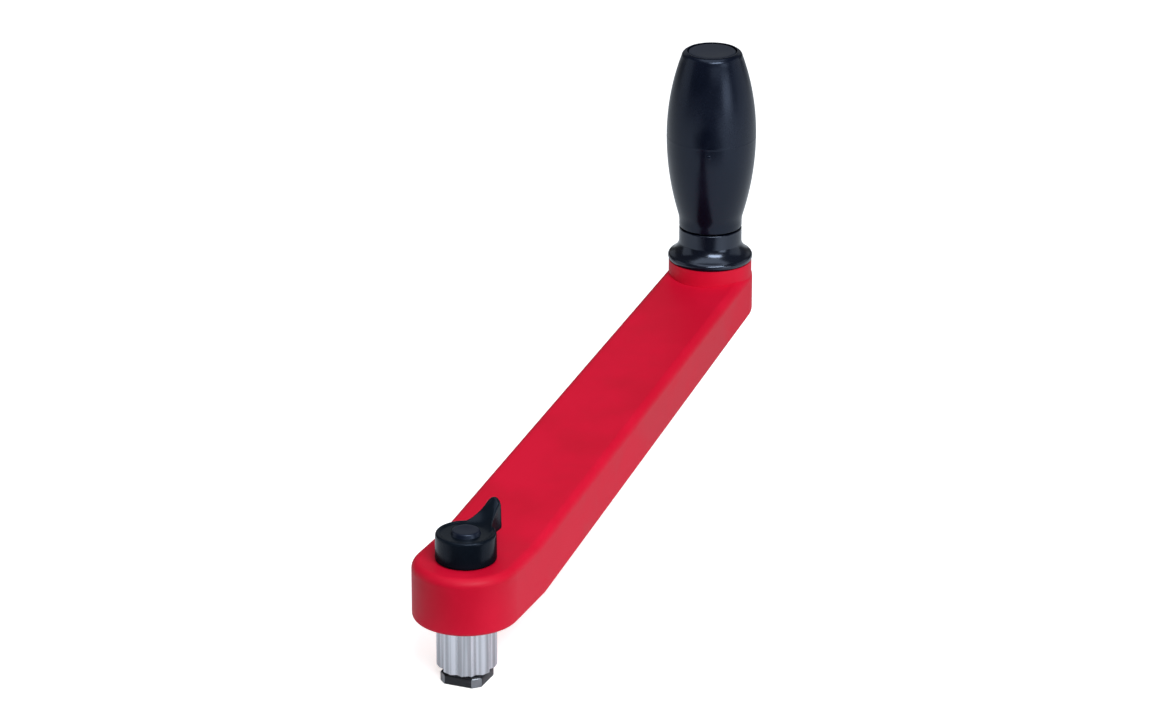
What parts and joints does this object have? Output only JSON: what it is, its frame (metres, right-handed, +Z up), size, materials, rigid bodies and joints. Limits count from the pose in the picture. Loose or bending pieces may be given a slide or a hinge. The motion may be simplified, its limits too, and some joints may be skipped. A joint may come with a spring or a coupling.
{
  "type": "locking winch handle",
  "caption": "Crank handle with a sloping moulded arm, a turning barrel grip at one end and a lever-locked star drive at the other, for turning a winch by hand.",
  "frame": {"origin": "on the drive axis, at the flat underside of the head where the star drive begins", "axes": "+X along the arm from the drive to the grip, +Z up along the drive axis towards the lever, +Y to the left of the arm"},
  "size_m": [0.2934, 0.0416, 0.1742],
  "materials": {
    "red_moulding": "satin moulded nylon with a fine surface texture",
    "black_grip": "satin black moulded nylon",
    "black_lever": "satin black moulded acetal",
    "cap_black": "satin black moulded disc",
    "foam": "closed-cell buoyancy foam",
    "star_metal": "bright machined aluminium alloy",
    "steel": "stainless steel, turned",
    "fastener_steel": "stainless steel fastener",
    "spring_steel": "spring wire",
    "lock_metal": "black anodised plate",
    "bearing_plastic": "natural acetal bush",
    "seal_rubber": "nitrile seal ring"
  },
  "bodies": {
    "arm": {"arm_shell": "red_moulding", "arm_cover": "red_moulding", "cover_screws": "fastener_steel", "foam_core": "foam", "drive_star": "star_metal", "drive_screws": "fastener_steel", "stop_pins": "steel", "lower_bush": "bearing_plastic", "upper_bush": "bearing_plastic", "spindle_seal": "seal_rubber", "grip_spindle": "steel", "spindle_washer": "fastener_steel", "spindle_nut": "fastener_steel", "grip_collar": "black_grip", "grip_washer": "fastener_steel", "grip_screw": "fastener_steel"},
    "lock": {"lock_spindle": "steel", "lock_cam": "steel", "cam_pin": "steel", "return_spring": "spring_steel", "lock_plate": "lock_metal", "plate_screw": "fastener_steel", "lock_lever": "black_lever", "lever_screw": "fastener_steel", "lever_cap": "cap_black"},
    "grip": {"grip_sleeve": "black_grip", "grip_bush_lower": "bearing_plastic", "grip_bush_upper": "bearing_plastic", "grip_end_cap": "cap_black"}
  },
  "joints": [
    {"name": "grip_spin", "type": "hinge", "parent": "arm", "child": "grip", "pos_m": [0.254, 0, 0.1], "axis": [0, 0, 1], "continuous": true},
    {"name": "lock_turn", "type": "hinge", "parent": "arm", "child": "lock", "pos_m": [0, 0, 0], "axis": [0, 0, 1], "range_deg": [0, 22.5], "stiffness_Nm_per_rad": 0.12, "springref_deg": -20.05, "deforming": ["return_spring"]}
  ]
}
